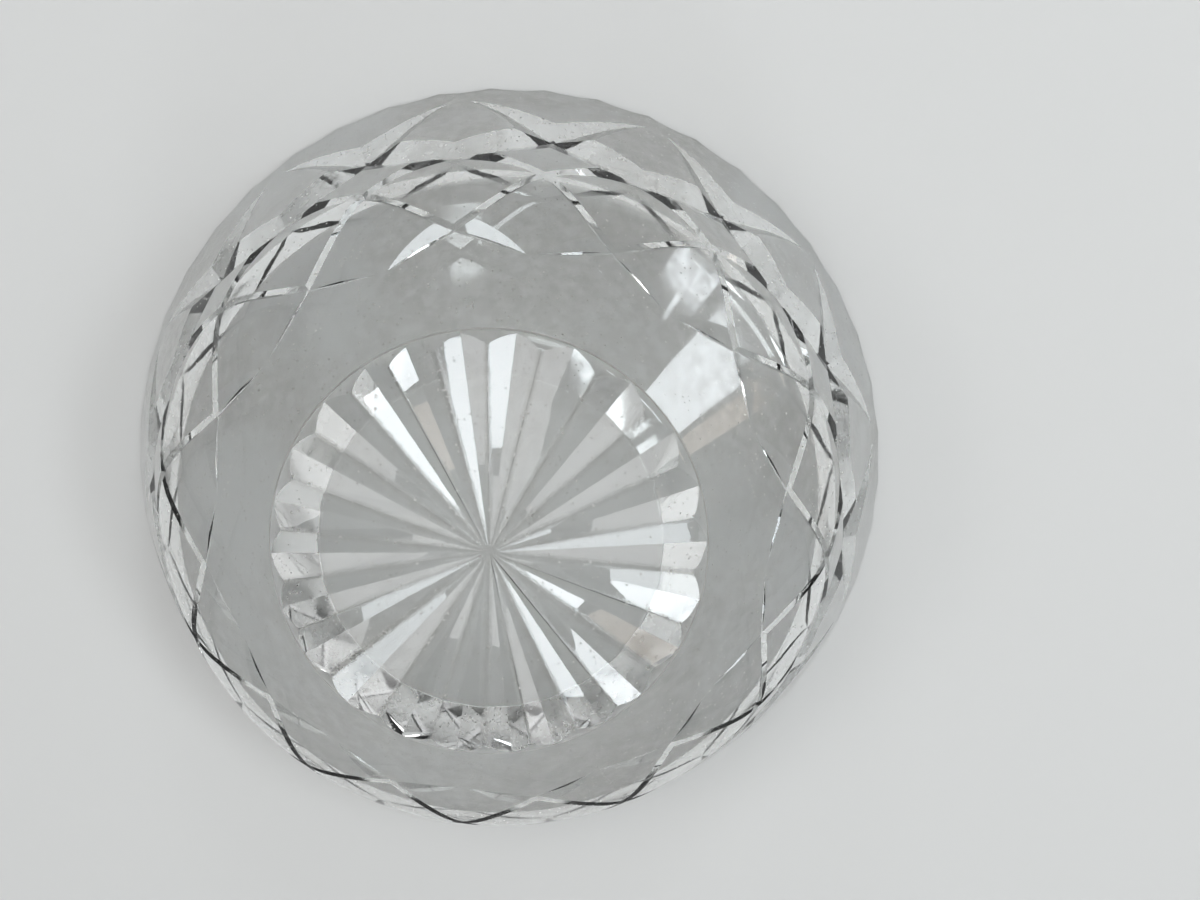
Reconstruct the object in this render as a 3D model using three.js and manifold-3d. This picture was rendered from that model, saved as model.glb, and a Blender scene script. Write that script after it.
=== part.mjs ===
// Cut-glass bowl on a low star-cut foot, standing upright with its mouth towards +Z.
// Millimetres. The foot rests on z = 0 and the Z axis is the bowl's own axis.
import * as THREE from 'three';
import { ConvexGeometry } from 'three/addons/geometries/ConvexGeometry.js';
import { mergeVertices } from 'three/addons/utils/BufferGeometryUtils.js';
import Module from 'manifold-3d';

const { degToRad, lerp } = THREE.MathUtils;
const up = new THREE.Vector3(0, 0, 1);

// Sizes over all
const rimRadius = 100; // over the points of the scalloped rim
const height = 84;
const outerFacets = 96; // flats in one turn of the outside
const innerFacets = 72;

// Foot
const footRadius = 38.6; // outer end of the resting ridges
const footTopRadius = 41.4;
const footHeight = 2.8;

// Outside of the body: a cone under the belly, a straight wall above it
const coneAngle = 41;
const bellyRadius = 73.2; // where the cone and the wall would meet
const bellyFillet = 22;
const fluteDepth = 0.8; // glass taken off the blank's edge at a point of the rim

// Inside of the body
const lipWidth = 3;
const lipChamfer = 0.5;
const bellyWall = 7.2;
const innerBellyFillet = 24;
const floorRadius = 33;
const floorThickness = 9;
const floorFillet = 4;

// Star cut into the foot
const rays = 24;
const rayStart = 1; // from the star's centre
const landWidth = 0.9; // flat left on each ridge at the cutter's reach, which the bowl stands on
const rayOverrun = 4.6; // how far the cutter runs out past the foot
const archGap = 0.7; // plain glass between the arches and the top of the foot

// Scalloped rim
const flutes = 46;
const fluteHollow = 0.6; // how far a flute dips inside the circle over its points
const fluteBevel = 17; // between a flute and the wall
const fluteReach = 12; // height of the cutter, more than a flute takes
const fluteSteps = 4;

// Mitre cuts: each runs from a fine tip near the foot, over the belly, to a fine tip near the rim
const repeats = 12;
const halfStep = 180 / repeats;
const tipRadius = 55.5; // of the fine tips on the cone
const crossingRadius = 61; // of the first crossing above them
const rimBand = 9.5; // plain glass above the upper tips
const wallShares = [0.24, 0.49]; // of the other crossings, from the belly to the upper tips
const cutDepths = [-0.1, 0.6, 0.6, 1.7, 2.1, -0.15];
const cutSlopes = [0.5, 0.5, 0.5, 0.32, 0.3, 0.3]; // depth over half width
const cutterRise = 0.7; // how far the cutter stands out of the glass
const stationsPerStep = 3;

// Flat facet in each lower corner of the scales that the cuts leave
const facetReach = 0.72; // along the upper cut, from the belly to the crossing
const facetLift = 0.3;
const facetSink = 0.5;

// A corner of a profile turned into an arc
function fillet(before, corner, after, radius, steps = 5) {
  const toBefore = before.clone().sub(corner).normalize();
  const toAfter = after.clone().sub(corner).normalize();
  const halfAngle = Math.acos(toBefore.dot(toAfter)) / 2;
  const setBack = radius / Math.tan(halfAngle);
  const bisector = toBefore.clone().add(toAfter).normalize();
  const centre = corner.clone().addScaledVector(bisector, radius / Math.sin(halfAngle));
  const start = corner.clone().addScaledVector(toBefore, setBack).sub(centre);
  const end = corner.clone().addScaledVector(toAfter, setBack).sub(centre);
  const sweep = Math.atan2(start.cross(end), start.dot(end));
  const origin = new THREE.Vector2();
  const points = [];
  for (let i = 0; i <= steps; i++) {
    points.push(start.clone().rotateAround(origin, (sweep * i) / steps).add(centre));
  }
  return points;
}

// Corners of the outer profile, and the profile itself from the foot's edge to the rim
const coneHeight = (radius) => footHeight + Math.tan(degToRad(coneAngle)) * (radius - footTopRadius);
const footEdge = new THREE.Vector2(footRadius, 0);
const footTop = new THREE.Vector2(footTopRadius, footHeight);
const belly = new THREE.Vector2(bellyRadius, coneHeight(bellyRadius));
const rim = new THREE.Vector2(rimRadius + fluteDepth, height);
const outside = [footEdge, footTop, ...fillet(footTop, belly, rim, bellyFillet), rim];

// Inner profile from the rim down to the floor
function innerProfile() {
  const lip = new THREE.Vector2(rimRadius - lipWidth, height);
  const toFoot = footTop.clone().sub(belly).normalize();
  const toRim = rim.clone().sub(belly).normalize();
  const inward = toFoot.add(toRim).normalize();
  const innerBelly = belly.clone().addScaledVector(inward, bellyWall);
  const floorEdge = new THREE.Vector2(floorRadius, floorThickness);
  const floorCentre = new THREE.Vector2(0, floorThickness);
  const wall = lip.clone().sub(innerBelly).normalize();
  return [
    lip.clone().add(new THREE.Vector2(lipChamfer, 0)),
    lip.clone().addScaledVector(wall, -lipChamfer),
    ...fillet(lip, innerBelly, floorEdge, innerBellyFillet),
    ...fillet(innerBelly, floorEdge, floorCentre, floorFillet, 3),
    floorCentre,
  ];
}

// Point on the outside at a height, moved off the surface by a distance, at an angle round the axis
function onOutside(angle, z, lift = 0) {
  const i = Math.max(1, outside.findIndex((p, n) => n > 0 && p.y >= z));
  const low = outside[i - 1];
  const high = outside[i];
  const radius = lerp(low.x, high.x, (z - low.y) / (high.y - low.y));
  const along = high.clone().sub(low).normalize();
  const point = new THREE.Vector3(radius + lift * along.y, 0, z - lift * along.x);
  return point.applyAxisAngle(up, degToRad(angle));
}

let wasm;

// Closed three.js geometry to a solid
function solid(geometry) {
  const bare = geometry.index ? geometry.toNonIndexed() : geometry.clone();
  bare.deleteAttribute('normal');
  bare.deleteAttribute('uv');
  const merged = mergeVertices(bare, 1e-4);
  const index = merged.index.array;
  const kept = [];
  for (let i = 0; i < index.length; i += 3) {
    const [a, b, c] = index.subarray(i, i + 3);
    if (a !== b && b !== c && c !== a) kept.push(a, b, c);
  }
  const vertProperties = new Float32Array(merged.attributes.position.array);
  const mesh = new wasm.Mesh({ numProp: 3, vertProperties, triVerts: new Uint32Array(kept) });
  return new wasm.Manifold(mesh);
}

// Solid back to a three.js geometry with flat facets
function geometryOf(manifold) {
  const mesh = manifold.getMesh();
  const geometry = new THREE.BufferGeometry();
  geometry.setAttribute('position', new THREE.BufferAttribute(mesh.vertProperties.slice(), 3));
  geometry.setIndex(new THREE.BufferAttribute(mesh.triVerts.slice(), 1));
  geometry.computeVertexNormals();
  return geometry;
}

// Solid of revolution about Z, from a profile that starts and ends on the axis
function turned(profile, facets) {
  const geometry = new THREE.LatheGeometry(profile, facets);
  geometry.rotateX(Math.PI / 2);
  return solid(geometry);
}

// Blown and pressed blank: the outside as a solid, less the inside
function blank() {
  const foot = new THREE.Vector2(0, 0);
  const top = new THREE.Vector2(0, height);
  const body = turned([foot, ...outside, top], outerFacets);
  const above = new THREE.Vector2(0, height + 1);
  const mouth = new THREE.Vector2(rimRadius - lipWidth + lipChamfer + 1, height + 1);
  const hollow = turned([...innerProfile().reverse(), mouth, above], innerFacets);
  return body.subtract(hollow);
}

// One V-shaped ray of the star, deepening outwards until it leaves the foot's side
function rayCutter(angle) {
  const reach = footTopRadius + rayOverrun;
  const depth = ((footHeight - archGap) * reach) / footTopRadius;
  const halfWidth = reach * Math.tan(Math.PI / rays) - landWidth / 2;
  const points = [
    new THREE.Vector3(rayStart, 0, 0),
    new THREE.Vector3(reach, 0, depth),
    new THREE.Vector3(reach, 2 * halfWidth, -depth),
    new THREE.Vector3(reach, -2 * halfWidth, -depth),
  ];
  const cutter = new ConvexGeometry(points);
  cutter.rotateZ(degToRad(angle));
  return solid(cutter);
}

// Ring round the rim whose inner side is the row of flutes, wider towards the top
function fluteCutter() {
  const shape = new THREE.Shape();
  shape.absarc(0, 0, 1.3 * rimRadius, 0, 2 * Math.PI);
  const hole = new THREE.Path();
  const point = (turn, radius) => [radius * Math.cos(turn), radius * Math.sin(turn)];
  const pitch = (2 * Math.PI) / flutes;
  const control = 2 * (rimRadius - fluteHollow) - rimRadius * Math.cos(pitch / 2);
  hole.moveTo(rimRadius, 0);
  for (let i = 1; i <= flutes; i++) {
    hole.quadraticCurveTo(...point((i - 0.5) * pitch, control), ...point(i * pitch, rimRadius));
  }
  shape.holes.push(hole);
  const depth = fluteReach + 1;
  const cutter = new THREE.ExtrudeGeometry(shape, { depth, bevelEnabled: false, curveSegments: fluteSteps });
  cutter.translate(0, 0, height - fluteReach);
  const wallLean = Math.atan2(rim.x - belly.x, rim.y - belly.y);
  const spread = Math.tan(wallLean - degToRad(fluteBevel)) / rimRadius;
  const position = cutter.attributes.position;
  for (let i = 0; i < position.count; i++) {
    const scale = 1 + (position.getZ(i) - height) * spread;
    position.setXY(i, position.getX(i) * scale, position.getY(i) * scale);
  }
  return solid(cutter);
}

// Values along a cut, from tip to tip, through one value for each half step round the bowl
function alongCut(values) {
  return new THREE.SplineCurve(values.map((value, level) => new THREE.Vector2(level, value)));
}
const upperTip = height - rimBand;
const cutHeight = alongCut([
  coneHeight(tipRadius),
  coneHeight(crossingRadius),
  belly.y,
  ...wallShares.map((share) => lerp(belly.y, upperTip, share)),
  upperTip,
]);
const cutDepth = alongCut(cutDepths);
const cutSlope = alongCut(cutSlopes);
const lastLevel = cutDepths.length - 1;

// Point beside a cut's line, across it on the surface and off the surface
function besideCut(level, start, turn, across, lift) {
  const at = (l) => onOutside(start + turn * halfStep * l, cutHeight.getPoint(l / lastLevel).y);
  const near = THREE.MathUtils.clamp(level, 0.01, lastLevel - 0.01);
  const centre = at(near);
  const along = at(near + 0.01).sub(at(near - 0.01)).normalize();
  const angle = start + turn * halfStep * near;
  const outward = onOutside(angle, centre.z, 1).sub(centre).normalize();
  const side = outward.clone().cross(along);
  return centre.addScaledVector(side, across).addScaledVector(outward, lift);
}

// One mitre cut: a V that follows the surface, deepest on the wall above the belly
function mitreCutter(start, turn) {
  const rings = [];
  const stations = stationsPerStep * lastLevel;
  for (let i = 0; i <= stations; i++) {
    const level = (i * lastLevel) / stations;
    const depth = cutDepth.getPoint(level / lastLevel).y;
    const halfWidth = (depth + cutterRise) / cutSlope.getPoint(level / lastLevel).y;
    rings.push([
      besideCut(level, start, turn, 0, -depth),
      besideCut(level, start, turn, halfWidth, cutterRise),
      besideCut(level, start, turn, -halfWidth, cutterRise),
    ]);
  }
  return solid(loft(rings));
}

// Closed skin over three-cornered rings
function loft(rings) {
  const corners = [...rings[0]].reverse();
  for (let i = 1; i < rings.length; i++) {
    for (let j = 0; j < 3; j++) {
      const [a, b] = [rings[i - 1][j], rings[i - 1][(j + 1) % 3]];
      const [c, d] = [rings[i][j], rings[i][(j + 1) % 3]];
      corners.push(a, b, c, b, d, c);
    }
  }
  corners.push(...rings[rings.length - 1]);
  return new THREE.BufferGeometry().setFromPoints(corners);
}

// Flat facet beside the lower end of a cut
function facetCutter(start, turn) {
  const reach = lerp(2, 1, facetReach);
  const corner = (level, side, lift) => {
    const z = cutHeight.getPoint(level / lastLevel).y;
    return onOutside(start + turn * halfStep * side, z, lift);
  };
  const ends = [[0, 0, 0], [reach, facetReach, facetLift], [1, 1, -facetSink]];
  const points = ends.map(([level, side, lift]) => corner(level, side, lift));
  const above = ends.map(([level, side]) => corner(level, side, 3 * cutterRise));
  return solid(new ConvexGeometry([...points, ...above]));
}

async function cutBowl() {
  wasm = await Module();
  wasm.setup();
  const cutters = [fluteCutter()];
  for (let i = 0; i < rays; i++) {
    cutters.push(rayCutter((360 * i) / rays));
  }
  for (let i = 0; i < repeats; i++) {
    const start = 2 * halfStep * i;
    for (const turn of [1, -1]) {
      cutters.push(mitreCutter(start, turn), facetCutter(start, turn));
    }
  }
  return cutters.reduce((bowl, cutter) => bowl.subtract(cutter), blank());
}

const glass = new THREE.MeshStandardMaterial({
  color: 0xe4eae8,
  roughness: 0.04,
  metalness: 0,
  transparent: true,
  opacity: 0.35,
});

const bowl = new THREE.Mesh(geometryOf(await cutBowl()), glass);
bowl.name = 'bowl';

const part = new THREE.Group();
part.add(bowl);

export default part;
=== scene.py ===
import math

import bmesh
import bpy
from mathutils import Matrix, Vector


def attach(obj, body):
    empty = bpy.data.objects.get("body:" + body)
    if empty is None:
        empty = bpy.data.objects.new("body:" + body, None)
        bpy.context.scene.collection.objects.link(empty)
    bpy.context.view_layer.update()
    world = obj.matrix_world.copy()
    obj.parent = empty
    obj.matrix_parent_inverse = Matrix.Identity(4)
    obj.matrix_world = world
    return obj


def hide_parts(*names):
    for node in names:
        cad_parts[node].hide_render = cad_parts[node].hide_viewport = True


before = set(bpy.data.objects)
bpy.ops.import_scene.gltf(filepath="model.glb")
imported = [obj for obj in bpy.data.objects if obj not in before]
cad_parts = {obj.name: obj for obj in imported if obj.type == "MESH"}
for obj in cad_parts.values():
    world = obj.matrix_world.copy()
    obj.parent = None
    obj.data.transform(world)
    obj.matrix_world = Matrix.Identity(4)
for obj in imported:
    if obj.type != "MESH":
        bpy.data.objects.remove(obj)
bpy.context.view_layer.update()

mm = 0.001
scene = bpy.context.scene
scene.view_settings.view_transform = "Standard"
print("frame loaded")


# helpers for nodes and objects

def addNode(tree, kind, **settings):
    node = tree.nodes.new(kind)
    for name, value in settings.items():
        setattr(node, name, value)
    return node


def feed(tree, socket, value):
    # a socket is linked, anything else becomes the input's own value
    if isinstance(value, bpy.types.NodeSocket):
        tree.links.new(value, socket)
    elif value is not None:
        socket.default_value = value


def calc(tree, operation, a, b=None, c=None, clamp=False):
    node = addNode(tree, "ShaderNodeMath", operation=operation, use_clamp=clamp)
    for socket, value in zip(node.inputs, (a, b, c)):
        feed(tree, socket, value)
    return node.outputs[0]


def startTree(name, kind, inputs, outputs):
    tree = bpy.data.node_groups.new(name, kind)
    for label, socketType, value in inputs:
        socket = tree.interface.new_socket(name=label, in_out="INPUT", socket_type=socketType)
        if value is not None:
            socket.default_value = value
    for label, socketType in outputs:
        tree.interface.new_socket(name=label, in_out="OUTPUT", socket_type=socketType)
    return tree, tree.nodes.new("NodeGroupInput").outputs, tree.nodes.new("NodeGroupOutput").inputs


def setInput(modifier, label, value):
    for item in modifier.node_group.interface.items_tree:
        if item.item_type == "SOCKET" and item.in_out == "INPUT" and item.name == label:
            modifier[item.identifier] = value
            return
    raise KeyError(label)


def newObject(name, mesh):
    thing = bpy.data.objects.new(name, mesh)
    scene.collection.objects.link(thing)
    return thing


# camera at the photograph's viewpoint

cameraView = {
    "location": (31.67, -37.99, -174.57),  # mm, under the foot: the bowl was pictured turned over
    "turn": (170.945, 1.821, 22.031),
    "lens": 28.8,
}


def placeCamera(v):
    data = bpy.data.cameras.new("photoView")
    data.lens = v["lens"]
    data.sensor_width = 36
    data.clip_start = 0.01
    camera = newObject("photoView", data)
    camera.location = [x * mm for x in v["location"]]
    camera.rotation_euler = [math.radians(x) for x in v["turn"]]
    scene.camera = camera


placeCamera(cameraView)
print("camera placed")


# floor, backdrop and light

stageLook = {
    "floorColour": (0.62, 0.62, 0.61, 1),
    "clothColour": (0.62, 0.62, 0.61, 1),  # what the turned-over bowl lies on in the photograph's view
    "floorHalf": 6.0,  # m
    "clothHalf": 3.0,
    "clothHeight": 84.4,  # mm, just off the rim
    "sheetHeight": -4.0,  # mm, the clear sheet under the floor, which a ray from below meets first
}

studio = {
    # height from straight down, -1, to straight up, 1, and the grey seen there
    "sky": ((-1, 0.60), (-0.84, 0.50), (-0.60, 0.32), (-0.36, 0.34), (-0.14, 0.66), (0, 0.72),
            (0.14, 0.70), (0.36, 0.40), (0.60, 0.52), (0.84, 0.98), (1, 1.0)),
    "white": (1, 1, 1),
    "daylight": (0.90, 0.96, 1),
    "warm": (1, 0.86, 0.72),
    "skyTint": (0.99, 0.995, 1),
    "aimHeight": 42,  # mm, the middle of the bowl, which every lamp faces
    # name: direction from the bowl (azimuth, height angle), distance m, width and height m,
    # brightness of its face, colour
    "lamps": {
        "lowWindow": ((-8, -6), 1.3, (0.38, 0.16), 9, "daylight"),
        "lowWarm": ((5, -5), 1.3, (0.13, 0.16), 2.6, "warm"),
        "lowWindowTwo": ((-25.5, -3.2), 1.3, (0.25, 0.06), 9, "daylight"),
        "glintWindow": ((-79.6, -19.5), 1.3, (0.18, 0.14), 9, "daylight"),
        "starWindow": ((-17, -57), 1.2, (0.20, 0.17), 16, "daylight"),
        "starWindowTwo": ((21, -52), 1.2, (0.36, 0.17), 13, "daylight"),
        "starWarm": ((-1, -55.5), 1.2, (0.10, 0.17), 3.4, "warm"),
        "sideGlint": ((104, -33), 1.3, (0.34, 0.22), 7, "daylight"),
        "wallGlint": ((-53, -34), 1.3, (0.26, 0.20), 7, "daylight"),
        "ringLeft": ((-58, -59), 1.5, (0.50, 0.28), 3.6, "white"),
        "ringBack": ((-106, -54), 1.5, (0.62, 0.30), 3.6, "white"),
        "ringRight": ((-152, -45), 1.5, (0.70, 0.30), 3.6, "white"),
        "ringFront": ((47, -46), 1.5, (0.30, 0.28), 3.6, "white"),
        "underFill": ((150, -62), 3.0, (1.6, 1.6), 0.9, "white"),
        "topSoft": ((-40, 62), 3.0, (1.6, 1.6), 1.75, "white"),
        "sideWindow": ((-70, 24), 1.5, (0.4, 0.5), 5.5, "white"),
        "topFill": ((120, 40), 3.0, (1.2, 0.9), 2, "white"),
    },
}


def stagePlane(name, half, height, faceUp, material):
    corners = [(-half, -half), (half, -half), (half, half), (-half, half)]
    order = (0, 1, 2, 3) if faceUp else (3, 2, 1, 0)
    mesh = bpy.data.meshes.new(name)
    mesh.from_pydata([(x, y, height * mm) for x, y in corners], [], [order])
    mesh.materials.append(material)
    newObject(name, mesh)


def stageMaterial(name, colour, clearBelow):
    # A ray that came up through the floor has passed two clear surfaces. The floor is clear to it
    # and to anything that meets its underside, and the cloth is there for such rays only.
    material = bpy.data.materials.new(name)
    material.use_nodes = True
    tree = material.node_tree
    tree.nodes.clear()
    path = addNode(tree, "ShaderNodeLightPath")
    fromBelow = calc(tree, "GREATER_THAN", path.outputs["Transparent Depth"], 1.5)
    if clearBelow:
        side = addNode(tree, "ShaderNodeNewGeometry").outputs["Backfacing"]
        clear = calc(tree, "MAXIMUM", fromBelow, side)
    else:
        clear = calc(tree, "SUBTRACT", 1, fromBelow)
    paint = addNode(tree, "ShaderNodeBsdfDiffuse")
    paint.inputs["Color"].default_value = colour
    mix = addNode(tree, "ShaderNodeMixShader")
    feed(tree, mix.inputs[0], clear)
    feed(tree, mix.inputs[1], paint.outputs[0])
    feed(tree, mix.inputs[2], addNode(tree, "ShaderNodeBsdfTransparent").outputs[0])
    end = addNode(tree, "ShaderNodeOutputMaterial")
    feed(tree, end.inputs["Surface"], mix.outputs[0])
    return material


def clearMaterial():
    material = bpy.data.materials.new("clearSheet")
    material.use_nodes = True
    tree = material.node_tree
    tree.nodes.clear()
    end = addNode(tree, "ShaderNodeOutputMaterial")
    feed(tree, end.inputs["Surface"], addNode(tree, "ShaderNodeBsdfTransparent").outputs[0])
    return material


def setStage(v):
    paleFloor = stageMaterial("paleFloor", v["floorColour"], True)
    paleCloth = stageMaterial("paleCloth", v["clothColour"], False)
    stagePlane("floor", v["floorHalf"], 0, True, paleFloor)
    stagePlane("cloth", v["clothHalf"], v["clothHeight"], False, paleCloth)
    stagePlane("underSheet", v["floorHalf"], v["sheetHeight"], True, clearMaterial())


def addLamps(v):
    for name, (direction, distance, size, brightness, colour) in v["lamps"].items():
        azimuth, rise = (math.radians(x) for x in direction)
        data = bpy.data.lights.new(name, "AREA")
        data.shape = "RECTANGLE"
        data.size, data.size_y = size
        data.energy = brightness * math.pi * size[0] * size[1]
        data.color = v[colour]
        lamp = newObject(name, data)
        level = math.cos(rise)
        way = Vector((math.cos(azimuth) * level, math.sin(azimuth) * level, math.sin(rise)))
        lamp.location = Vector((0, 0, v["aimHeight"] * mm)) + way * distance
        lamp.rotation_mode = "QUATERNION"
        lamp.rotation_quaternion = way.to_track_quat("Z", "Y")


def setWorld(v):
    world = bpy.data.worlds.new("studio")
    scene.world = world
    world.use_nodes = True
    tree = world.node_tree
    tree.nodes.clear()
    way = addNode(tree, "ShaderNodeSeparateXYZ")
    feed(tree, way.inputs[0], addNode(tree, "ShaderNodeTexCoord").outputs["Generated"])
    ramp = addNode(tree, "ShaderNodeValToRGB")
    feed(tree, ramp.inputs[0], calc(tree, "MULTIPLY_ADD", way.outputs[2], 0.5, 0.5))
    while len(ramp.color_ramp.elements) < len(v["sky"]):
        ramp.color_ramp.elements.new(0.5)
    for element, (height, grey) in zip(ramp.color_ramp.elements, v["sky"]):
        element.position = (height + 1) / 2
        element.color = [grey * part for part in v["skyTint"]] + [1]
    light = addNode(tree, "ShaderNodeBackground")
    feed(tree, light.inputs["Color"], ramp.outputs[0])
    end = addNode(tree, "ShaderNodeOutputWorld")
    feed(tree, end.inputs["Surface"], light.outputs[0])


setStage(stageLook)
addLamps(studio)
setWorld(studio)
print("stage and lamps set")


# glass: clear, with the haze, dust and wear of a used bowl

glassLook = {
    "colour": (0.955, 0.968, 0.962, 1),
    "ior": 1.52,
    "dirtColour": (0.62, 0.60, 0.56, 1),
    "rimShadeColour": (0.20, 0.19, 0.17, 1),  # painted shade: a near-black line drawn on the rim's ground edge
    "blown": {
        "roughness": 0.010,
        "haze": 0.09,
        "hazeTint": 0.60,
        "veil": 0.8,
        "waveDepth": 45e-6,  # m
        "waveScale": 42,
    },
    "cut": {
        "roughness": 0.006,
        "haze": 0.02,
        "hazeTint": 0.12,
        "veil": 0.2,
        "waveDepth": 6e-6,
        "waveScale": 160,
    },
    "veilRoughness": 0.42,
    "hazeScale": 26,
    "speckScale": 900,
    "speckShare": 0.22,
    "speckRoughness": 0.30,
    "wearReach": 0.35,  # mm up from what the bowl stands on
    "rimEdge": (100, 84),  # mm, radius and height of the edge it lies on when turned over
    "rimWearAndShadeReach": 1.0,
    "crease": (41.4, 2.8),  # mm, radius and height of the line where the foot meets the body
    "creaseReach": 0.42,
    "wearRoughness": 0.22,
    "wearTint": 0.3,
    "lineRoughness": 0.6,
    "scratchDepth": 12e-6,  # m
    "scratchStrength": 0.5,
}


def noise(tree, where, scale, detail=2.0, distortion=0.0):
    node = addNode(tree, "ShaderNodeTexNoise")
    feed(tree, node.inputs["Vector"], where)
    for label, value in (("Scale", scale), ("Detail", detail), ("Distortion", distortion)):
        feed(tree, node.inputs[label], value)
    return node.outputs["Fac"]


def between(tree, value, low, high, toLow=0.0, toHigh=1.0):
    node = addNode(tree, "ShaderNodeMapRange", interpolation_type="SMOOTHSTEP")
    for socket, v in zip(node.inputs, (value, low, high, toLow, toHigh)):
        feed(tree, socket, v)
    return node.outputs[0]


dustShape = {
    "smearDetail": 5.0,
    "smearBend": 0.6,
    "smearLevels": (0.36, 0.70),  # noise levels between which a smear fades in
    "grainFiner": 14,  # grain inside a smear, finer than the smear by this much
    "grainDetail": 3.0,
    "grainLevels": (0.30, 0.65),
    "grainLeast": 0.35,
    "speckEdge": (0.10, 0.32),  # share of a cell at which a speck starts and ends to fade
}


def dustGroup(v):
    # smears of haze, and specks of dust that lie on the glass
    tree, given, result = startTree("dustAndHaze", "ShaderNodeTree", [
        ("Place", "NodeSocketVector", None),
        ("Haze Scale", "NodeSocketFloat", 26),
        ("Speck Scale", "NodeSocketFloat", 900),
        ("Speck Share", "NodeSocketFloat", 0.22),
    ], [("Haze", "NodeSocketFloat"), ("Specks", "NodeSocketFloat")])
    broad = noise(tree, given["Place"], given["Haze Scale"], v["smearDetail"], v["smearBend"])
    fineScale = calc(tree, "MULTIPLY", given["Haze Scale"], v["grainFiner"])
    fine = noise(tree, given["Place"], fineScale, v["grainDetail"])
    smears = between(tree, broad, *v["smearLevels"])
    grain = between(tree, fine, *v["grainLevels"], v["grainLeast"], 1.0)
    feed(tree, result["Haze"], calc(tree, "MULTIPLY", smears, grain))
    cells = addNode(tree, "ShaderNodeTexVoronoi", feature="F1")
    feed(tree, cells.inputs["Vector"], given["Place"])
    feed(tree, cells.inputs["Scale"], given["Speck Scale"])
    pick = addNode(tree, "ShaderNodeSeparateColor")
    feed(tree, pick.inputs[0], cells.outputs["Color"])
    chosen = calc(tree, "LESS_THAN", pick.outputs[0], given["Speck Share"])
    dot = between(tree, cells.outputs["Distance"], *v["speckEdge"], 1.0, 0.0)
    feed(tree, result["Specks"], calc(tree, "MULTIPLY", dot, chosen))
    return tree


wearShape = {
    "bandEdge": (0.15, 1.0),  # share of the reach over which the rubbed band fades out
    "patchScale": 1400,
    "patchDetail": 3.0,
    "patchLevels": (0.35, 0.65),
    "patchLeast": 0.55,
    "rimEdge": 0.55,  # share of the reach at which the line starts to fade
    "creaseEdge": 0.3,
    "scratchTurn": 0.6,  # radians
    "scratchStretch": (1, 14, 14),
    "scratchScale": 260,
    "scratchLevels": (0.60, 0.68),
}


def wearGroup(v):
    # rubbed band on what the bowl stands on, with fine scratches, and two lines: the ground edge of the
    # rim, which also carries painted shade, a dark line, and where the foot meets the body
    tree, given, result = startTree("footWear", "ShaderNodeTree", [
        ("Place", "NodeSocketVector", None),
        ("Reach", "NodeSocketFloat", 0.00035),
        ("Rim Radius", "NodeSocketFloat", 0.1),
        ("Rim Height", "NodeSocketFloat", 0.084),
        ("Rim Reach", "NodeSocketFloat", 0.001),
        ("Crease Radius", "NodeSocketFloat", 0.0414),
        ("Crease Height", "NodeSocketFloat", 0.0028),
        ("Crease Reach", "NodeSocketFloat", 0.00042),
    ], [(label, "NodeSocketFloat") for label in ("Wear", "Scratches", "Ground Edge", "Crease")])
    part = addNode(tree, "ShaderNodeSeparateXYZ")
    feed(tree, part.inputs[0], given["Place"])
    share = calc(tree, "DIVIDE", part.outputs[2], given["Reach"])
    low = between(tree, share, *v["bandEdge"], 1.0, 0.0)
    patchNoise = noise(tree, given["Place"], v["patchScale"], v["patchDetail"])
    patches = between(tree, patchNoise, *v["patchLevels"], v["patchLeast"], 1.0)
    flat = addNode(tree, "ShaderNodeVectorMath", operation="MULTIPLY")
    feed(tree, flat.inputs[0], given["Place"])
    flat.inputs[1].default_value = (1, 1, 0)
    radius = addNode(tree, "ShaderNodeVectorMath", operation="LENGTH")
    feed(tree, radius.inputs[0], flat.outputs[0])

    def nearCircle(circle, edge):
        # 1 on a circle round the bowl, 0 beyond its reach
        out = calc(tree, "SUBTRACT", given[circle + " Radius"], radius.outputs["Value"])
        up = calc(tree, "SUBTRACT", given[circle + " Height"], part.outputs[2])
        apart = addNode(tree, "ShaderNodeCombineXYZ")
        feed(tree, apart.inputs[0], out)
        feed(tree, apart.inputs[1], up)
        away = addNode(tree, "ShaderNodeVectorMath", operation="LENGTH")
        feed(tree, away.inputs[0], apart.outputs[0])
        far = calc(tree, "DIVIDE", away.outputs["Value"], given[circle + " Reach"])
        return between(tree, far, edge, 1.0, 1.0, 0.0)

    # the rim's line makes the ground edge rougher, and is also the mask of the painted shade on it
    rim = nearCircle("Rim", v["rimEdge"])
    feed(tree, result["Ground Edge"], calc(tree, "MULTIPLY", rim, patches))
    feed(tree, result["Crease"], nearCircle("Crease", v["creaseEdge"]))
    feed(tree, result["Wear"], calc(tree, "MULTIPLY", low, patches))
    stretched = addNode(tree, "ShaderNodeMapping")
    feed(tree, stretched.inputs["Vector"], given["Place"])
    stretched.inputs["Rotation"].default_value = (0, 0, v["scratchTurn"])
    stretched.inputs["Scale"].default_value = v["scratchStretch"]
    lines = between(tree, noise(tree, stretched.outputs[0], v["scratchScale"]), *v["scratchLevels"])
    feed(tree, result["Scratches"], calc(tree, "MULTIPLY", lines, low))
    return tree


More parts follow.
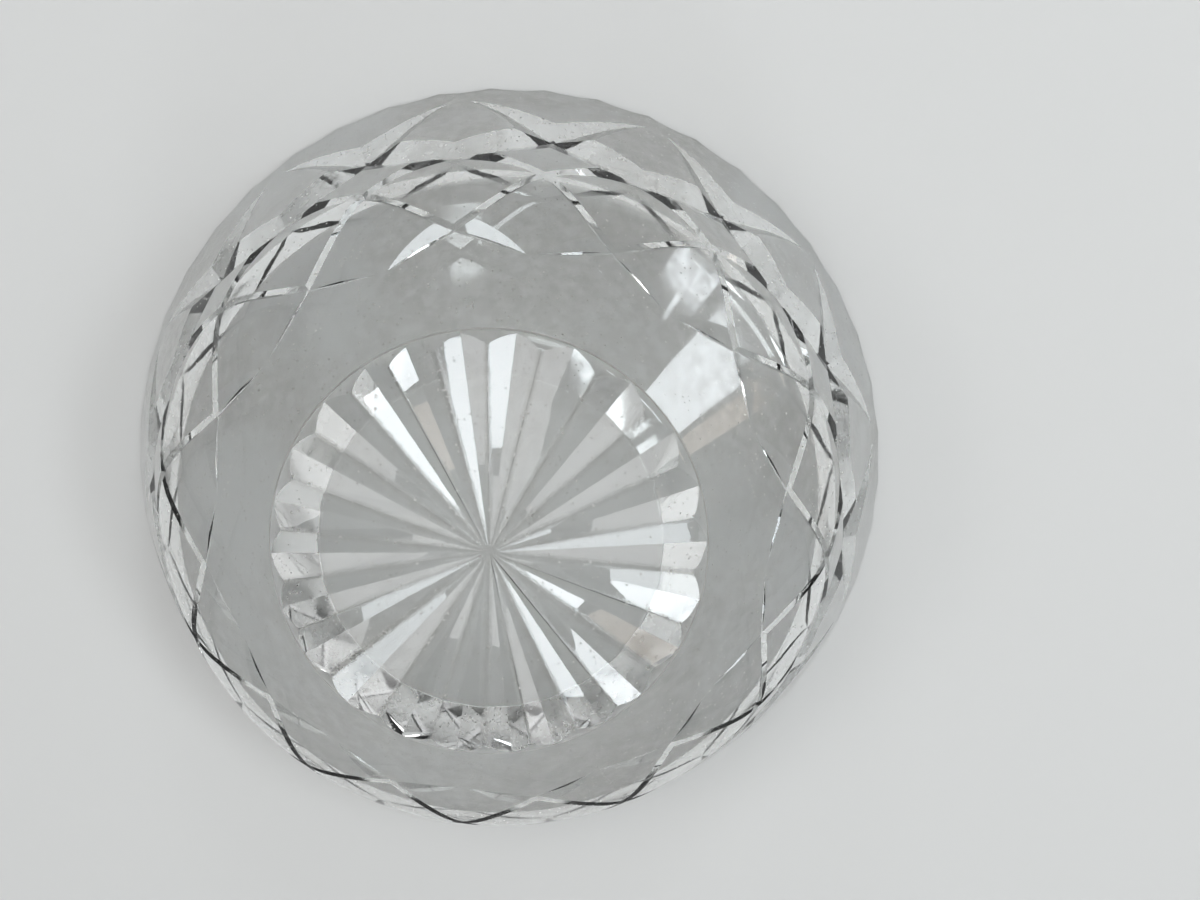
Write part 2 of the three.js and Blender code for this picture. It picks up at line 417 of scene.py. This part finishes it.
def makeGlass(name, finish, look, dust, wear):
    material = bpy.data.materials.new(name)
    material.use_nodes = True
    tree = material.node_tree
    shader = tree.nodes["Principled BSDF"]
    shader.inputs["IOR"].default_value = look["ior"]
    shader.inputs["Transmission Weight"].default_value = 1
    shader.inputs["Metallic"].default_value = 0
    shader.inputs["Coat Roughness"].default_value = look["veilRoughness"]
    place = addNode(tree, "ShaderNodeTexCoord").outputs["Object"]
    film = addNode(tree, "ShaderNodeGroup", node_tree=dust)
    feed(tree, film.inputs["Place"], place)
    feed(tree, film.inputs["Haze Scale"], look["hazeScale"])
    feed(tree, film.inputs["Speck Scale"], look["speckScale"])
    feed(tree, film.inputs["Speck Share"], look["speckShare"])
    rubbed = addNode(tree, "ShaderNodeGroup", node_tree=wear)
    feed(tree, rubbed.inputs["Place"], place)
    for label, value in (("Reach", look["wearReach"]), ("Rim Radius", look["rimEdge"][0]),
                         ("Rim Height", look["rimEdge"][1]), ("Rim Reach", look["rimWearAndShadeReach"]),
                         ("Crease Radius", look["crease"][0]), ("Crease Height", look["crease"][1]),
                         ("Crease Reach", look["creaseReach"])):
        feed(tree, rubbed.inputs[label], value * mm)
    # roughness: clean glass, then haze, specks, the rubbed foot and the two lines
    rough = calc(tree, "MULTIPLY_ADD", film.outputs["Haze"], finish["haze"], finish["roughness"])
    rough = calc(tree, "MULTIPLY_ADD", film.outputs["Specks"], look["speckRoughness"], rough)
    rough = calc(tree, "MULTIPLY_ADD", rubbed.outputs["Wear"], look["wearRoughness"], rough)
    lines = calc(tree, "MAXIMUM", rubbed.outputs["Ground Edge"], rubbed.outputs["Crease"])
    rough = calc(tree, "MULTIPLY_ADD", lines, look["lineRoughness"], rough, clamp=True)
    feed(tree, shader.inputs["Roughness"], rough)
    veil = calc(tree, "MULTIPLY", film.outputs["Haze"], finish["veil"])
    veil = calc(tree, "ADD", veil, film.outputs["Specks"], clamp=True)
    feed(tree, shader.inputs["Coat Weight"], veil)
    # colour: a breath darker and warmer where dust lies, on the rubbed foot and along the crease; darkest
    # on the rim's ground edge, which is painted shade
    tint = addNode(tree, "ShaderNodeMix", data_type="RGBA")
    dirt = calc(tree, "MULTIPLY_ADD", film.outputs["Haze"], finish["hazeTint"], film.outputs["Specks"])
    dirt = calc(tree, "MAXIMUM", dirt, rubbed.outputs["Crease"])
    dirt = calc(tree, "MULTIPLY_ADD", rubbed.outputs["Wear"], look["wearTint"], dirt, clamp=True)
    feed(tree, tint.inputs["Factor"], dirt)
    tint.inputs["A"].default_value = look["colour"]
    tint.inputs["B"].default_value = look["dirtColour"]
    # painted shade: the rim's ground edge is mixed towards near black, a drawn dark line
    edge = addNode(tree, "ShaderNodeMix", data_type="RGBA")
    feed(tree, edge.inputs["Factor"], rubbed.outputs["Ground Edge"])
    feed(tree, edge.inputs["A"], tint.outputs["Result"])
    edge.inputs["B"].default_value = look["rimShadeColour"]
    feed(tree, shader.inputs["Base Color"], edge.outputs["Result"])
    # surface: slow waves of the pressed glass or faint marks of the wheel, and scratches
    waves = addNode(tree, "ShaderNodeBump")
    waves.inputs["Strength"].default_value = 1
    waves.inputs["Distance"].default_value = finish["waveDepth"]
    feed(tree, waves.inputs["Height"], noise(tree, place, finish["waveScale"], 1.0, 0.3))
    scratches = addNode(tree, "ShaderNodeBump", invert=True)
    scratches.inputs["Strength"].default_value = look["scratchStrength"]
    scratches.inputs["Distance"].default_value = look["scratchDepth"]
    feed(tree, scratches.inputs["Height"], rubbed.outputs["Scratches"])
    feed(tree, scratches.inputs["Normal"], waves.outputs[0])
    feed(tree, shader.inputs["Normal"], scratches.outputs[0])
    return material


dustAndHaze, footWear = dustGroup(dustShape), wearGroup(wearShape)
blownGlass = makeGlass("blownGlass", glassLook["blown"], glassLook, dustAndHaze, footWear)
cutGlass = makeGlass("cutGlass", glassLook["cut"], glassLook, dustAndHaze, footWear)
print("glass mixed")


# the bowl, turned and then cut as at the wheel

bowlSize = {
    # body, mm
    "rimRadius": 100,
    "height": 84,
    "footRadius": 38.6,
    "footTopRadius": 41.4,
    "footHeight": 2.8,
    "footBulge": 0.35,
    "footFillet": 0.3,
    "coneAngle": 41,
    "bellyRadius": 73.2,
    "bellyFillet": 22,
    "fluteDepth": 0.8,
    "lipWidth": 3,
    "lipRound": 0.7,
    "bellyWall": 7.2,
    "innerBellyFillet": 24,
    "floorRadius": 33,
    "floorThickness": 9,
    "floorFillet": 1.2,
    "flats": 288,  # in one turn of the blank
    "footSteps": 8,  # chords in each rounded stretch of the profile
    "footFilletSteps": 4,
    "bellySteps": 16,
    "lipSteps": 5,
    "innerBellySteps": 20,
    "floorSteps": 8,
    "standOut": 1,  # how far the cutters of mouth and rim pass the rim's level
    # star
    "rayAngles": (5.1, 20.3, 36.4, 51.0, 67.4, 80.7, 95.2, 107.2, 122.5, 137.8, 155.1, 172.6,
                  186.8, 201.6, 215.9, 230.6, 245.3, 259.2, 271.0, 285.4, 299.7, 315.0, 332.0, 349.3),
    "rayStart": 1,
    "landWidth": 0.35,
    "rayOverrun": 4.6,
    "archGap": 0.7,
    # rim
    "flutes": 46,
    "fluteHollow": 0.6,
    "fluteBevel": 17,
    "fluteReach": 12,
    "rimChamfer": 0.5,
    "ringRadius": 130,  # outer side of the ring that cuts the flutes
    "fluteSteps": 12,
    "flutedBelow": 115,  # radius up to which the rim's ring is scalloped
    # mitre cuts
    "repeats": 12,
    "tipRadius": 55.5,
    "crossingRadius": 61,
    "rimBand": 9.5,
    "wallShares": (0.24, 0.49),
    "cutDepths": (-0.1, 0.7, 0.75, 1.7, 2.1, -0.15),
    "cutSlopes": (0.8, 0.8, 0.75, 0.34, 0.3, 0.3),
    "cutterRise": 0.7,
    "stationsPerStep": 10,
    # flat facets
    "facetReach": 0.72,
    "facetTipLift": 0.12,
    "facetLift": 0.3,
    "facetSink": 0.5,
    "sharpAngle": 8,
}


def bulgedLine(start, end, bulge, steps):
    # a shallow arc that stands out from the straight line between two points
    middle = (start + end) / 2
    half = (end - start) / 2
    out = Vector((half.y, -half.x)).normalized()
    radius = (half.length_squared + bulge ** 2) / (2 * bulge)
    centre = middle + out * (bulge - radius)
    reach = math.asin(half.length / radius)
    points = []
    for i in range(steps + 1):
        a = reach * (2 * i / steps - 1)
        points.append(centre + (out * math.cos(a) + half.normalized() * math.sin(a)) * radius)
    return points


def roundCorner(before, corner, after, radius, steps):
    toBefore = (before - corner).normalized()
    toAfter = (after - corner).normalized()
    half = toBefore.angle(toAfter) / 2
    centre = corner + (toBefore + toAfter).normalized() * (radius / math.sin(half))
    start = corner + toBefore * (radius / math.tan(half)) - centre
    end = corner + toAfter * (radius / math.tan(half)) - centre
    sweep = math.atan2(start.cross(end), start.dot(end))
    points = []
    for i in range(steps + 1):
        a = sweep * i / steps
        x = start.x * math.cos(a) - start.y * math.sin(a)
        y = start.x * math.sin(a) + start.y * math.cos(a)
        points.append(centre + Vector((x, y)))
    return points


def coneHeight(v, radius):
    return v["footHeight"] + math.tan(math.radians(v["coneAngle"])) * (radius - v["footTopRadius"])


def bowlLines(v):
    # profile lines in the radius and height plane, mm, and the heights that the mitre cuts pass
    footEdge = Vector((v["footRadius"], 0))
    footTop = Vector((v["footTopRadius"], v["footHeight"]))
    belly = Vector((v["bellyRadius"], coneHeight(v, v["bellyRadius"])))
    rim = Vector((v["rimRadius"] + v["fluteDepth"], v["height"]))
    side = bulgedLine(footEdge, footTop, v["footBulge"], v["footSteps"])
    beforeTop = footTop + (side[-2] - side[-1]).normalized()
    outside = side[:-1] + roundCorner(beforeTop, footTop, belly, v["footFillet"], v["footFilletSteps"])
    outside = [p for i, p in enumerate(outside) if i == 0 or p.y > outside[i - 1].y]
    outside += roundCorner(footTop, belly, rim, v["bellyFillet"], v["bellySteps"]) + [rim]
    upperTip = v["height"] - v["rimBand"]
    onWall = [belly.y + (upperTip - belly.y) * share for share in v["wallShares"]]
    onCone = [coneHeight(v, v[name]) for name in ("tipRadius", "crossingRadius")]
    cutHeights = (*onCone, belly.y, *onWall, upperTip)
    return {"footTop": footTop, "belly": belly, "rim": rim, "outside": outside, "cutHeights": cutHeights}


def insideLine(v, lines):
    footTop, belly, rim = lines["footTop"], lines["belly"], lines["rim"]
    lip = Vector((v["rimRadius"] - v["lipWidth"], v["height"]))
    inward = ((footTop - belly).normalized() + (rim - belly).normalized()).normalized()
    bend = belly + inward * v["bellyWall"]
    floorEdge = Vector((v["floorRadius"], v["floorThickness"]))
    floorCentre = Vector((0, v["floorThickness"]))
    outward = lip + Vector((1, 0))  # along the top of the rim
    return (
        roundCorner(outward, lip, bend, v["lipRound"], v["lipSteps"])
        + roundCorner(lip, bend, floorEdge, v["innerBellyFillet"], v["innerBellySteps"])
        + roundCorner(bend, floorEdge, floorCentre, v["floorFillet"], v["floorSteps"])
        + [floorCentre]
    )


def onOutside(lines, angle, z, lift=0):
    # point of the outside at a height, moved off the surface
    line = lines["outside"]
    i = next((n for n in range(1, len(line)) if line[n].y >= z), len(line) - 1)
    low, high = line[i - 1], line[i]
    radius = low.x + (high.x - low.x) * (z - low.y) / (high.y - low.y)
    along = (high - low).normalized()
    r, h, a = radius + lift * along.y, z - lift * along.x, math.radians(angle)
    return Vector((r * math.cos(a), r * math.sin(a), h))


def smoothBetween(values, level):
    # smooth line through one value for each half step round the bowl
    last = len(values) - 1
    i = min(int(level), last - 1)
    w = level - i
    p0, p1, p2, p3 = (values[min(max(n, 0), last)] for n in (i - 1, i, i + 1, i + 2))
    v0, v1 = (p2 - p0) / 2, (p3 - p1) / 2
    return (2 * p1 - 2 * p2 + v0 + v1) * w ** 3 + (-3 * p1 + 3 * p2 - 2 * v0 - v1) * w ** 2 + v0 * w + p1


def hullMesh(name, points):
    mesh = bpy.data.meshes.new(name)
    work = bmesh.new()
    for p in points:
        work.verts.new(p * mm)
    found = bmesh.ops.convex_hull(work, input=work.verts)
    bmesh.ops.delete(work, geom=list(set(found["geom_interior"] + found["geom_unused"])), context="VERTS")
    bmesh.ops.recalc_face_normals(work, faces=work.faces)
    work.to_mesh(mesh)
    work.free()
    return mesh


def rayShape(v, gap):
    # length, depth at its outer end and half width there of a ray that has this angle to itself
    reach = v["footTopRadius"] + v["rayOverrun"]
    depth = (v["footHeight"] - v["archGap"]) * reach / v["footTopRadius"]
    return reach, depth, reach * math.tan(math.radians(gap / 2)) - v["landWidth"] / 2


def rayMesh(v):
    # one ray of the star: a V that deepens outwards until it leaves the foot's side
    reach, depth, half = rayShape(v, 360 / len(v["rayAngles"]))
    below = 0.05  # how far the cutter stands out under the foot
    tip = 0.001  # half the cutter's width where the ray starts
    wide = half * (1 + below / depth)
    return hullMesh("rayCutter", [
        Vector((v["rayStart"], 0, 0)),
        Vector((v["rayStart"], tip, -below)),
        Vector((v["rayStart"], -tip, -below)),
        Vector((reach, 0, depth)),
        Vector((reach, wide, -below)),
        Vector((reach, -wide, -below)),
    ])


def rayPlaces(v):
    # the wheel makes a ray as deep as it is wide, so each one's size follows the room it has
    angles = v["rayAngles"]
    usual = rayShape(v, 360 / len(angles))[2]
    places = []
    for i, angle in enumerate(angles):
        room = ((angles[(i + 1) % len(angles)] - angles[i - 1]) % 360) / 2
        places.append((angle, rayShape(v, room)[2] / usual))
    return places


def placesMesh(name, places):
    # a loose point for each copy: its direction places the copy, its distance is the copy's size
    mesh = bpy.data.meshes.new(name)
    turns = [(math.radians(angle), size) for angle, size in places]
    mesh.from_pydata([(size * math.cos(a), size * math.sin(a), 0) for a, size in turns], [], [])
    return mesh


def facetMesh(v, lines):
    # flat facet beside the lower end of a cut
    halfStep = 180 / v["repeats"]
    reach = 2 - v["facetReach"]
    ends = ((0, 0, v["facetTipLift"]), (reach, v["facetReach"], v["facetLift"]), (1, 1, -v["facetSink"]))
    points = []
    for level, side, lift in ends:
        z = smoothBetween(lines["cutHeights"], level)
        points.append(onOutside(lines, halfStep * side, z, lift))
        points.append(onOutside(lines, halfStep * side, z, 3 * v["cutterRise"]))
    return hullMesh("facetCutter", points)


def mitreMesh(v, lines):
    # one mitre cut: a V that follows the surface from tip to tip
    halfStep = 180 / v["repeats"]
    last = len(v["cutDepths"]) - 1
    near = 0.01  # of a half step, to read a direction and to stay off the ends

    def at(level):
        return onOutside(lines, halfStep * level, smoothBetween(lines["cutHeights"], level))

    rings = []
    count = v["stationsPerStep"] * last
    for i in range(count + 1):
        level = min(max(i / v["stationsPerStep"], near), last - near)
        centre = at(level)
        along = (at(level + near) - at(level - near)).normalized()
        outward = (onOutside(lines, halfStep * level, centre.z, 1) - centre).normalized()
        side = outward.cross(along)
        depth = smoothBetween(v["cutDepths"], level)
        half = (depth + v["cutterRise"]) / smoothBetween(v["cutSlopes"], level)
        rings.append([
            centre - outward * depth,
            centre + side * half + outward * v["cutterRise"],
            centre - side * half + outward * v["cutterRise"],
        ])
    points = [p * mm for ring in rings for p in ring]
    faces = [(2, 1, 0)]
    for i in range(count):
        for j in range(3):
            k = (j + 1) % 3
            faces.append((3 * i + j, 3 * i + k, 3 * i + 3 + k, 3 * i + 3 + j))
    faces.append((3 * count, 3 * count + 1, 3 * count + 2))
    mesh = bpy.data.meshes.new("mitreCutter")
    mesh.from_pydata(points, [], faces)
    work = bmesh.new()
    work.from_mesh(mesh)
    bmesh.ops.triangulate(work, faces=[f for f in work.faces if len(f.verts) == 4])
    bmesh.ops.recalc_face_normals(work, faces=work.faces)
    work.to_mesh(mesh)
    work.free()
    return mesh


def lineMesh(name, points):
    # profile as a row of loose points; the turning tree reads them by number
    mesh = bpy.data.meshes.new(name)
    mesh.from_pydata([Vector((p.x, 0, p.y)) * mm for p in points], [], [])
    return mesh


def turningTree():
    # turns a row of profile points round the axis, with scallops where they are asked for
    tree, given, result = startTree("turnedShape", "GeometryNodeTree", [
        ("Geometry", "NodeSocketGeometry", None),
        ("Profile Points", "NodeSocketInt", 2),
        ("Flats", "NodeSocketInt", 32),
        ("Closed Profile", "NodeSocketBool", False),
        ("Scallops", "NodeSocketInt", 0),
        ("Scallop Hollow", "NodeSocketFloat", 0.0),
        ("Scalloped Below", "NodeSocketFloat", 0.0),
    ], [("Geometry", "NodeSocketGeometry")])
    rows = given["Profile Points"]
    closing = calc(tree, "ADD", rows, given["Closed Profile"])
    grid = addNode(tree, "GeometryNodeMeshGrid")
    columns = calc(tree, "ADD", given["Flats"], 1)
    feed(tree, grid.inputs["Vertices X"], columns)
    feed(tree, grid.inputs["Vertices Y"], closing)
    index = addNode(tree, "GeometryNodeInputIndex").outputs[0]
    # half is added so that rounding can't take a column's first point for the last column's
    column = calc(tree, "FLOOR", calc(tree, "DIVIDE", calc(tree, "ADD", index, 0.5), closing))
    row = calc(tree, "SUBTRACT", index, calc(tree, "MULTIPLY", column, closing))
    wrapped = calc(tree, "FLOORED_MODULO", row, rows)
    point = addNode(tree, "GeometryNodeSampleIndex", data_type="FLOAT_VECTOR")
    feed(tree, point.inputs["Geometry"], given["Geometry"])
    feed(tree, point.inputs["Value"], addNode(tree, "GeometryNodeInputPosition").outputs[0])
    feed(tree, point.inputs["Index"], wrapped)
    apart = addNode(tree, "ShaderNodeSeparateXYZ")
    feed(tree, apart.inputs[0], point.outputs[0])
    radius, height = apart.outputs[0], apart.outputs[2]
    share = calc(tree, "DIVIDE", calc(tree, "FLOORED_MODULO", column, given["Flats"]), given["Flats"])
    # across one scallop from -1 to 1, cusp to cusp
    across = calc(tree, "FRACT", calc(tree, "MULTIPLY", share, given["Scallops"]))
    across = calc(tree, "SUBTRACT", calc(tree, "MULTIPLY", across, 2), 1)
    bow = calc(tree, "SUBTRACT", 1, calc(tree, "MULTIPLY", across, across))
    inner = calc(tree, "LESS_THAN", radius, given["Scalloped Below"])
    dent = calc(tree, "MULTIPLY", calc(tree, "MULTIPLY", bow, given["Scallop Hollow"]), inner)
    radius = calc(tree, "MULTIPLY", radius, calc(tree, "SUBTRACT", 1, dent))
    angle = calc(tree, "MULTIPLY", share, 2 * math.pi)
    place = addNode(tree, "ShaderNodeCombineXYZ")
    feed(tree, place.inputs[0], calc(tree, "MULTIPLY", radius, calc(tree, "COSINE", angle)))
    feed(tree, place.inputs[1], calc(tree, "MULTIPLY", radius, calc(tree, "SINE", angle)))
    feed(tree, place.inputs[2], height)
    move = addNode(tree, "GeometryNodeSetPosition")
    feed(tree, move.inputs["Geometry"], grid.outputs["Mesh"])
    feed(tree, move.inputs["Position"], place.outputs[0])
    merge = addNode(tree, "GeometryNodeMergeByDistance")
    feed(tree, merge.inputs["Geometry"], move.outputs[0])
    feed(tree, merge.inputs["Distance"], 1e-6)
    feed(tree, result["Geometry"], merge.outputs[0])
    return tree


def copiesTree():
    # copies of one cutter at the places given, as it is or as its mirror image
    tree, given, result = startTree("copiesRound", "GeometryNodeTree", [
        ("Cutter", "NodeSocketObject", None),
        ("Places", "NodeSocketObject", None),
        ("Mirrored", "NodeSocketBool", False),
    ], [("Geometry", "NodeSocketGeometry")])
    source = addNode(tree, "GeometryNodeObjectInfo")
    feed(tree, source.inputs["Object"], given["Cutter"])
    places = addNode(tree, "GeometryNodeObjectInfo")
    feed(tree, places.inputs["Object"], given["Places"])
    spot = addNode(tree, "GeometryNodeInputPosition").outputs[0]
    apart = addNode(tree, "ShaderNodeSeparateXYZ")
    feed(tree, apart.inputs[0], spot)
    turn = addNode(tree, "ShaderNodeCombineXYZ")
    feed(tree, turn.inputs[2], calc(tree, "ARCTAN2", apart.outputs[1], apart.outputs[0]))
    distance = addNode(tree, "ShaderNodeVectorMath", operation="LENGTH")
    feed(tree, distance.inputs[0], spot)
    side = calc(tree, "SUBTRACT", 1, calc(tree, "MULTIPLY", given["Mirrored"], 2))
    size = addNode(tree, "ShaderNodeCombineXYZ")
    feed(tree, size.inputs[0], 1.0)
    feed(tree, size.inputs[1], calc(tree, "MULTIPLY", side, distance.outputs["Value"]))
    feed(tree, size.inputs[2], distance.outputs["Value"])
    copy = addNode(tree, "GeometryNodeInstanceOnPoints")
    feed(tree, copy.inputs["Points"], places.outputs["Geometry"])
    feed(tree, copy.inputs["Instance"], source.outputs["Geometry"])
    feed(tree, copy.inputs["Rotation"], turn.outputs[0])
    feed(tree, copy.inputs["Scale"], size.outputs[0])
    home = addNode(tree, "GeometryNodeSetPosition")  # the cutter's own mesh holds its radius
    feed(tree, home.inputs["Geometry"], copy.outputs[0])
    feed(tree, home.inputs["Position"], addNode(tree, "ShaderNodeCombineXYZ").outputs[0])
    real = addNode(tree, "GeometryNodeRealizeInstances")
    feed(tree, real.inputs[0], home.outputs[0])
    # a mirror image is inside out until its faces are flipped
    flip = addNode(tree, "GeometryNodeFlipFaces")
    feed(tree, flip.inputs["Mesh"], real.outputs[0])
    feed(tree, flip.inputs["Selection"], given["Mirrored"])
    feed(tree, result["Geometry"], flip.outputs[0])
    return tree


def bowlTree(turning, copies):
    # turned blank, less its inside, less the rim's ring and all the cuts
    tree, given, result = startTree("cutBowl", "GeometryNodeTree", [
        ("Geometry", "NodeSocketGeometry", None),
        ("Outside", "NodeSocketObject", None),
        ("Outside Points", "NodeSocketInt", 2),
        ("Inside", "NodeSocketObject", None),
        ("Inside Points", "NodeSocketInt", 2),
        ("Flats", "NodeSocketInt", 288),
        ("Ring", "NodeSocketObject", None),
        ("Ring Points", "NodeSocketInt", 5),
        ("Ring Flats", "NodeSocketInt", 552),
        ("Flutes", "NodeSocketInt", 46),
        ("Flute Hollow", "NodeSocketFloat", 0.006),
        ("Fluted Below", "NodeSocketFloat", 0.11),
        ("Ray", "NodeSocketObject", None),
        ("Ray Places", "NodeSocketObject", None),
        ("Mitre", "NodeSocketObject", None),
        ("Facet", "NodeSocketObject", None),
        ("Wall Places", "NodeSocketObject", None),
        ("Blown Glass", "NodeSocketMaterial", None),
        ("Cut Glass", "NodeSocketMaterial", None),
    ], [("Geometry", "NodeSocketGeometry")])

    def marked(shape):
        # faces that the wheel leaves keep this mark through the cut
        mark = addNode(tree, "GeometryNodeStoreNamedAttribute", data_type="BOOLEAN", domain="FACE")
        feed(tree, mark.inputs["Geometry"], shape)
        feed(tree, mark.inputs["Name"], "wheelCut")
        feed(tree, mark.inputs["Value"], True)
        return mark.outputs[0]

    def painted(shape, material, where=None):
        finish = addNode(tree, "GeometryNodeSetMaterial")
        feed(tree, finish.inputs["Geometry"], shape)
        feed(tree, finish.inputs["Selection"], where)
        feed(tree, finish.inputs["Material"], given[material])
        return finish.outputs[0]

    def turned(label, flats, points, closed=False, scalloped=False):
        source = addNode(tree, "GeometryNodeObjectInfo")
        feed(tree, source.inputs["Object"], given[label])
        shape = addNode(tree, "GeometryNodeGroup", node_tree=turning)
        feed(tree, shape.inputs["Geometry"], source.outputs["Geometry"])
        feed(tree, shape.inputs["Profile Points"], points)
        feed(tree, shape.inputs["Flats"], flats)
        feed(tree, shape.inputs["Closed Profile"], closed)
        if scalloped:
            feed(tree, shape.inputs["Scallops"], given["Flutes"])
            feed(tree, shape.inputs["Scallop Hollow"], given["Flute Hollow"])
            feed(tree, shape.inputs["Scalloped Below"], given["Fluted Below"])
        return shape.outputs[0]

    def cut(body, *cutters):
        boolean = addNode(tree, "GeometryNodeMeshBoolean", operation="DIFFERENCE", solver="MANIFOLD")
        feed(tree, boolean.inputs["Mesh 1"], body)
        for cutter in cutters:
            feed(tree, boolean.inputs["Mesh 2"], cutter)
        return boolean.outputs["Mesh"]

    def row(label, places, mirrored=False):
        group = addNode(tree, "GeometryNodeGroup", node_tree=copies)
        feed(tree, group.inputs["Cutter"], given[label])
        feed(tree, group.inputs["Places"], given[places])
        feed(tree, group.inputs["Mirrored"], mirrored)
        return group.outputs[0]

    body = turned("Outside", given["Flats"], given["Outside Points"])
    cutters = [
        turned("Inside", given["Flats"], given["Inside Points"]),
        marked(turned("Ring", given["Ring Flats"], given["Ring Points"], closed=True, scalloped=True)),
        marked(row("Ray", "Ray Places")),
    ]
    for label in ("Mitre", "Facet"):
        cutters += [marked(row(label, "Wall Places", mirrored)) for mirrored in (False, True)]
    real = addNode(tree, "GeometryNodeRealizeInstances")
    feed(tree, real.inputs[0], cut(body, *cutters))
    wheelCut = addNode(tree, "GeometryNodeInputNamedAttribute", data_type="BOOLEAN")
    feed(tree, wheelCut.inputs["Name"], "wheelCut")
    whole = painted(real.outputs[0], "Blown Glass")
    feed(tree, result["Geometry"], painted(whole, "Cut Glass", wheelCut.outputs["Attribute"]))
    return tree


def ringLine(v, lines):
    # section of the ring whose inner side is the row of flutes
    wall = lines["rim"] - lines["belly"]
    lean = math.atan2(wall.x, wall.y)
    spread = math.tan(lean - math.radians(v["fluteBevel"]))
    low, edge = v["height"] - v["fluteReach"], v["height"] - v["rimChamfer"]
    high = v["height"] + v["standOut"]
    lowRadius, edgeRadius = (v["rimRadius"] + (z - v["height"]) * spread for z in (low, edge))
    chamferEnd = edgeRadius - (high - edge)  # the ground edge slopes at 45 degrees
    outer = v["ringRadius"]
    points = [(lowRadius, low), (outer, low), (outer, high), (chamferEnd, high), (edgeRadius, edge)]
    return [Vector(p) for p in points]


def makeBowl(v, blown, polished):
    lines = bowlLines(v)
    outside = [Vector((0, 0))] + lines["outside"] + [Vector((0, v["height"]))]
    inside = insideLine(v, lines)
    mouthTop = v["height"] + v["standOut"]
    mouth = [Vector((0, mouthTop)), Vector((inside[0].x, mouthTop))]
    ring = ringLine(v, lines)
    wallPlaces = [(360 * i / v["repeats"], 1) for i in range(v["repeats"])]
    helpers = {
        "Outside": newObject("outsideLine", lineMesh("outsideLine", outside)),
        "Inside": newObject("insideLine", lineMesh("insideLine", (mouth + inside)[::-1])),
        "Ring": newObject("ringLine", lineMesh("ringLine", ring)),
        "Ray": newObject("rayCutter", rayMesh(v)),
        "Ray Places": newObject("rayPlaces", placesMesh("rayPlaces", rayPlaces(v))),
        "Mitre": newObject("mitreCutter", mitreMesh(v, lines)),
        "Facet": newObject("facetCutter", facetMesh(v, lines)),
        "Wall Places": newObject("wallPlaces", placesMesh("wallPlaces", wallPlaces)),
    }
    bowl = newObject("cutGlassBowl", bpy.data.meshes.new("blankBowl"))
    shape = bowl.modifiers.new("shape", "NODES")
    shape.node_group = bowlTree(turningTree(), copiesTree())
    values = {
        **helpers,
        "Outside Points": len(outside),
        "Inside Points": len(mouth + inside),
        "Flats": v["flats"],
        "Ring Points": len(ring),
        "Ring Flats": v["flutes"] * v["fluteSteps"],
        "Flutes": v["flutes"],
        "Flute Hollow": v["fluteHollow"] / v["rimRadius"],
        "Fluted Below": v["flutedBelow"] * mm,
        "Blown Glass": blown,
        "Cut Glass": polished,
    }
    for label, value in values.items():
        setInput(shape, label, value)
    view = bpy.context.evaluated_depsgraph_get()
    mesh = bpy.data.meshes.new_from_object(bowl.evaluated_get(view))
    bowl.modifiers.remove(shape)
    bowl.data = mesh
    mesh.name = "cutGlassBowl"
    mesh.attributes.remove(mesh.attributes["wheelCut"])
    while mesh.materials[0] is None:  # the cut leaves an empty slot in front
        mesh.materials.pop(index=0)
    for helper in helpers.values():
        data = helper.data
        bpy.data.objects.remove(helper)
        bpy.data.meshes.remove(data)
    mesh.shade_smooth()
    mesh.set_sharp_from_angle(angle=math.radians(v["sharpAngle"]))
    print("bowl cut:", len(mesh.polygons), "faces")
    return bowl


bowl = makeBowl(bowlSize, blownGlass, cutGlass)
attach(bowl, "root")
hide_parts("bowl")

print("bowl placed")
